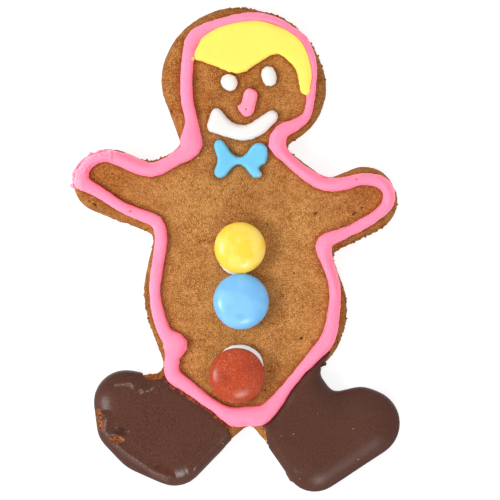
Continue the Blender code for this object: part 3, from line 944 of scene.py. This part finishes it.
# Painted shade in hollows, below the fold and behind high places: x, y, reach, strength
DEEP_SHADE = {
    "left": [(-30.7, -48.7, 1.7, 0.7), (-31.8, -49.2, 1.2, 0.45), (-35.0, -46.4, 1.1, 0.4),
             (-23.6, -36.2, 4.0, 0.35), (-33.0, -36.4, 5.0, 0.2), (-33.0, -55.0, 3.2, 0.3),
             (-29.4, -57.6, 3.2, 0.3), (-25.4, -60.0, 3.0, 0.3)],
    "right": [(28.0, -39.6, 7.0, 0.25), (22.0, -36.0, 6.0, 0.2)],
}

# Stretches where a sliver of dough is left bare along the border: x, y, reach, strength
BARE = {
    "left": [(-14.6, -38.4, 2.6, 1.0), (-12.4, -40.0, 1.8, 0.9), (-5.6, -45.2, 2.2, 1.0),
             (-3.6, -46.4, 2.0, 1.0), (-9.4, -42.6, 2.0, 0.6)],
    "right": [(9.0, -44.6, 1.6, 0.8)],
}

# Thin patches that dough glows through: x, y, reach, strength
THIN = {
    "left": [(-20.4, -58.2, 2.2, 0.8), (-18.2, -59.4, 2.2, 0.8), (-28.5, -54.4, 1.4, 0.5),
             (-29.6, -49.8, 1.4, 0.6)],
    "right": [(15.6, -35.8, 3.2, 0.55), (12.6, -39.2, 2.6, 0.45), (18.0, -32.4, 2.4, 0.4)],
}


def rounded_down(from_rim, reach, drop):
    """How far a round shoulder has come down at a distance from its rim."""
    share = max(0.0, 1 - from_rim / reach)
    return drop * (1 - math.sqrt(max(0.0, 1 - share * share)))


def outside(tree, point):
    """How far a point stands outside a closed surface."""
    near, normal, _, _ = tree.find_nearest(point)
    return (point - near).dot(normal)


def soft_lower(first, second):
    """The lower of two heights, blended where they are close."""
    share = min(1.0, max(0.0, 0.5 + 0.5 * (second - first) / BLEND))
    return second + (first - second) * share - BLEND * share * (1 - share)


class GINGERBREAD_OT_feet(bpy.types.Operator):
    """Dip the feet: chocolate up to the border, a rolled rim, chips, wrinkles and a drip"""
    bl_idname = "gingerbread.feet"
    bl_label = "Feet"

    def execute(self, context):
        look = context.scene.gingerbread_chocolate
        coats = {
            "left": chocolate_finish("dark chocolate", look, 0.62, 0.26),
            "right": chocolate_finish("dull dark chocolate", look, 0.46, 0.36),
        }
        border = surface("piped_border")
        dough = packed_surface("biscuit")
        for side in ("left", "right"):
            node = f"chocolate_foot_{side}"
            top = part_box(node)[1].z / MM
            bm = packed(node)
            if side == "right":
                for lump in LUMPS:
                    add_blob(bm, *lump)
            reskin(bm, look.skin / MM)
            relax(bm, 5)
            rim = flat_tree([
                vert.co for vert in bm.verts if abs(vert.normal.z) < STEEP and RIM_LOW < vert.co.z < RIM_HIGH
                and outside(dough, vert.co) > 0.55 and gap_to(border, vert.co) > 1.2])
            thin, bare, deep, wall = [weights_of(bm, layer) for layer in ("thin", "bare", "deep", "wall")]
            for vert in bm.verts:
                point = vert.co.copy()
                gap = gap_to(border, point)
                vert.co += level(vert.normal) * 0.5 * eased(1.4 - gap)
                if point.z > top - ROUNDED:
                    from_rim = rim.find((point.x, point.y, 0))[2]
                    # The top comes down to its rim, but not beside the border, on flat edges or on the fold
                    low = rounded_down(from_rim, look.shoulder / MM, look.drop / MM) * eased(gap / 6)
                    for route, reach in FLAT_EDGES[side]:
                        low *= 1 - 0.7 * eased(1.8 - route_distance(point, route) / reach)
                    if side == "left":
                        crest = eased(1.7 - route_distance(point, FOLD) / 1.5)
                        low *= 1 - 0.75 * crest * eased((from_rim - 1.3) / 1.2)
                    vert.co.z = soft_lower(point.z, top - low)
                    vert.co.z -= 0.5 * eased(1 - gap / 2.2) * eased((point.z - top + 2.4) / 2.4)
                    vert[thin] = 0.7 * eased(1 - gap / 1.6) * min(1.0, max(0.0, 0.55 + ripple(point, 3, 2)))
                vert.co += vert.normal * (0.1 * ripple(point, 9, 4) + 0.02 * ripple(point, 3, 6))
                vert.co.z = max(0.0, vert.co.z)
            bm.normal_update()
            # Painted light on the steep sides, less where they face the head, and painted shade on slopes
            # that face the head
            for vert in bm.verts:
                behind = min(1.0, max(0.0, 1.8 * vert.normal.y)) * eased((vert.co.z - 1) / 3)
                steep = math.hypot(vert.normal.x, vert.normal.y)
                vert[wall] = eased((steep - 0.4) / 0.45) * (1 - 0.5 * behind)
                vert[deep] = 0.22 * behind
            for layer, spots in (("thin", THIN), ("deep", DEEP_SHADE), ("bare", BARE)):
                paint(bm, layer, spots[side])
            for vert in bm.verts:
                beside_border = eased(1.7 - gap_to(border, vert.co) / 0.8)
                vert[bare] = max(vert[bare], SLIVER[side]) * beside_border
            weights_of(bm, "scuff")  # both coats read it, though only the left one is scuffed
            if side == "left":
                press(bm, CHOCOLATE_MARKS)
                press(bm, SCUFFS, "scuff")
                # Painted highlight along the crest of the fold, laid in the scratches' pale tone
                press(bm, [(FOLD, 0.55, 0.0)], "scuff", 0.9)
                press(bm, CHIPS, "bare")
            for vert in bm.verts:
                vert[bare] *= eased((vert.co.z - BARE_ABOVE) / 1.5)
            finish(f"dipped_foot_{side}", bm, coats[side], "dark_chocolate", node)
        return {"FINISHED"}


# ---------------------------------------------------------------- small things

CRUMB_COUNT = 230
CRUMB_SIZES = (0.12, 0.32)
CRUMB_FLOOR = 0.001  # metres over the floor below which no crumb hangs

# Grains and crumbs at set places: x, y, radius
SUGAR_GRAINS = [
    (12.3, -50.0, 0.1), (15.6, -49.4, 0.13), (31.6, -48.0, 0.12), (33.0, -56.2, 0.12), (8.4, -51.2, 0.22),
    (-21.6, -57.5, 0.1), (-3.4, -52.0, 0.12), (-10.0, 24.7, 0.24), (22.0, -44.0, 0.09), (5.0, -26.2, 0.12),
    (17.3, -61.5, 0.12), (-36.1, -44.9, 0.13), (-35.9, -46.2, 0.15), (-36.3, -47.1, 0.12),
    (-30.9, -50.3, 0.15), (-30.3, -50.8, 0.12),
]
SET_CRUMBS = [
    (-23.2, 24.3, 0.45), (-22.1, 24.0, 0.35), (-20.0, 25.3, 0.35), (-23.2, -33.6, 0.45), (-22.2, -32.8, 0.35),
    (-24.4, -34.2, 0.35), (-19.8, -31.4, 0.45), (-20.5, -32.2, 0.35), (-22.9, -33.3, 0.42),
    (-21.3, -32.5, 0.42), (-20.2, -31.6, 0.4),
]
RED_DOTS = [(-28.2, 10.4, 0.22), (32.5, 19.0, 0.22), (2.85, 37.8, 0.24)]


def scatter(bm, places, seed):
    """Small uneven grains at places of x, y, z and radius."""
    for index, (x, y, z, radius) in enumerate(places):
        made = bmesh.ops.create_icosphere(bm, subdivisions=2, radius=radius)
        for vert in made["verts"]:
            vert.co *= 1 + 0.35 * ripple(vert.co, radius * 1.2, seed + index)
        bmesh.ops.translate(bm, vec=(x, y, z), verts=made["verts"])


class GINGERBREAD_OT_crumbs(bpy.types.Operator):
    """Scatter crumbs along the rough edges, sugar grains on the top and colour dots in the icing"""
    bl_idname = "gingerbread.crumbs"
    bl_label = "Crumbs"

    def execute(self, context):
        random.seed(4)
        dough = bpy.data.objects["baked_dough"].data
        sides = [vert for vert in dough.vertices if abs(vert.normal.z) < 0.6 and vert.co.z > CRUMB_FLOOR]
        weights = [roughness_at(vert.co / MM) ** 2 for vert in sides]
        places = []
        for vert in random.choices(sides, weights, k=CRUMB_COUNT):
            radius = random.uniform(*CRUMB_SIZES)
            places.append((*(vert.co / MM + vert.normal * radius * 0.2), radius))
        tree = surface("baked_dough")
        for x, y, radius in SET_CRUMBS:
            places.append((*tree.find_nearest(Vector((x, y, DOUGH_TOP - 0.8)))[0], radius))
        bm = bmesh.new()
        scatter(bm, places, 1)
        crumbs = Finish("crumbs", roughness=0.85, specular_ior_level=0.2)
        look = context.scene.gingerbread_dough
        crumbs.set(base_color=crumbs.mix(crumb_grain(crumbs), look.browned_dark, look.browned_pale))
        finish("edge_crumbs", bm, crumbs, "baked_dough")

        under = ("baked_dough", "dipped_foot_left", "dipped_foot_right", "piped_border", "nose_icing")
        trees = [surface(name) for name in under]
        for name, grains, slot, colour in (
            ("sugar_grains", SUGAR_GRAINS, "white_icing", look.sugar),
            ("colour_dots", RED_DOTS, "pink_icing", (linear(205), linear(45), linear(60))),
        ):
            places = [(x, y, max(ground(tree, x, y) for tree in trees), radius) for x, y, radius in grains]
            bm = bmesh.new()
            scatter(bm, places, 50)
            made = Finish(name.replace("_", " "), colour, roughness=0.5)
            made.lay(made.grain(0.3), [0.8 * part for part in colour])
            finish(name, bm, made, slot)
        return {"FINISHED"}


# ---------------------------------------------------------------- stage

FLOOR_REACH = 2.0  # metres from the biscuit to each edge of the floor
FLOOR_SINK = 0.0001  # metres that the floor lies under the biscuit
LAMP_DISTANCE = 0.8  # metres from the biscuit to each softbox


def towards(azimuth, elevation):
    """Direction given by its angle round the biscuit and its angle over the floor, in degrees."""
    azimuth, elevation = math.radians(azimuth), math.radians(elevation)
    flat = math.cos(elevation)
    return Vector((math.cos(azimuth) * flat, math.sin(azimuth) * flat, math.sin(elevation)))


class GINGERBREAD_OT_stage(bpy.types.Operator):
    """Lay the biscuit on a plain pale floor among softboxes, under a far camera looking straight down"""
    bl_idname = "gingerbread.stage"
    bl_label = "Stage"

    def execute(self, context):
        scene = context.scene
        look = scene.gingerbread_stage
        scene.view_settings.view_transform = "Standard"
        world = bpy.data.worlds.new("studio")
        world.use_nodes = True
        background = world.node_tree.nodes["Background"]
        background.inputs["Color"].default_value = (1, 1, 1, 1)
        background.inputs["Strength"].default_value = look.fill
        scene.world = world

        bm = bmesh.new()
        bmesh.ops.create_grid(bm, x_segments=1, y_segments=1, size=FLOOR_REACH)
        bmesh.ops.translate(bm, vec=(0, 0, -FLOOR_SINK), verts=bm.verts)
        mesh = bpy.data.meshes.new("floor")
        bm.to_mesh(mesh)
        bm.free()
        paper = Finish(
            "white paper", roughness=0.9, base_color=(0.3, 0.3, 0.3), emission_color=(1, 1, 1),
            emission_strength=0.82)
        mesh.materials.append(paper.material)
        floor = placed("floor", mesh)
        floor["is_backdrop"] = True

        softboxes = (  # name, azimuth, elevation, power, side
            ("softbox_left", 188, 46, look.left, look.softbox),
            ("core_left", 188, 46, look.left_core, look.core),
            ("softbox_front", 285, 46, look.front, look.core),
            ("softbox_back", 80, 65, look.back, look.softbox),
        )
        for name, azimuth, elevation, watts, size in softboxes:
            light = bpy.data.lights.new(name, "AREA")
            light.size = size
            light.energy = watts
            lamp = placed(name, light)
            away = towards(azimuth, elevation)
            lamp.location = away * LAMP_DISTANCE
            lamp.rotation_euler = away.to_track_quat("Z", "Y").to_euler()
            lamp.visible_camera = False
            lamp.visible_glossy = size == look.core  # only the small softboxes shine in the gloss

        camera = bpy.data.cameras.new("camera")
        camera.sensor_width = 36.0
        camera.lens = camera.sensor_width * look.distance / look.width
        viewer = placed("camera", camera)
        viewer.location = (look.aim, 0, look.distance + DOUGH_TOP * MM)
        scene.camera = viewer
        return {"FINISHED"}


# ---------------------------------------------------------------- add-on

OPERATORS = (
    GINGERBREAD_OT_dough, GINGERBREAD_OT_border, GINGERBREAD_OT_hair, GINGERBREAD_OT_face,
    GINGERBREAD_OT_bow_tie, GINGERBREAD_OT_sweets, GINGERBREAD_OT_feet, GINGERBREAD_OT_crumbs,
    GINGERBREAD_OT_stage,
)
SETTINGS = {
    "gingerbread_dough": DoughSettings,
    "gingerbread_icing": IcingSettings,
    "gingerbread_sweets": SweetSettings,
    "gingerbread_chocolate": ChocolateSettings,
    "gingerbread_stage": StageSettings,
}


class GINGERBREAD_PT_panel(bpy.types.Panel):
    """Lists the steps and the settings of the gingerbread man"""
    bl_idname = "GINGERBREAD_PT_panel"
    bl_label = "Gingerbread man"
    bl_space_type = "VIEW_3D"
    bl_region_type = "UI"
    bl_category = "Gingerbread"

    def draw(self, context):
        for operator in OPERATORS:
            self.layout.operator(operator.bl_idname)
        for name, group in SETTINGS.items():
            box = self.layout.box()
            for setting in group.__annotations__:
                box.prop(getattr(context.scene, name), setting)


def register():
    for item in (*SETTINGS.values(), *OPERATORS, GINGERBREAD_PT_panel):
        bpy.utils.register_class(item)
    for name, group in SETTINGS.items():
        setattr(bpy.types.Scene, name, PointerProperty(type=group))


def unregister():
    for name in SETTINGS:
        delattr(bpy.types.Scene, name)
    for item in reversed((*SETTINGS.values(), *OPERATORS, GINGERBREAD_PT_panel)):
        bpy.utils.unregister_class(item)


def main():
    register()
    for operator in OPERATORS:
        group, step = operator.bl_idname.split(".")
        getattr(getattr(bpy.ops, group), step)()
    sizes = {"cad": CAD_BOUNDS, "visual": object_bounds()}
    sizes = {name: [list(corner) for corner in box] for name, box in sizes.items()}


if __name__ == "__main__":
    main()
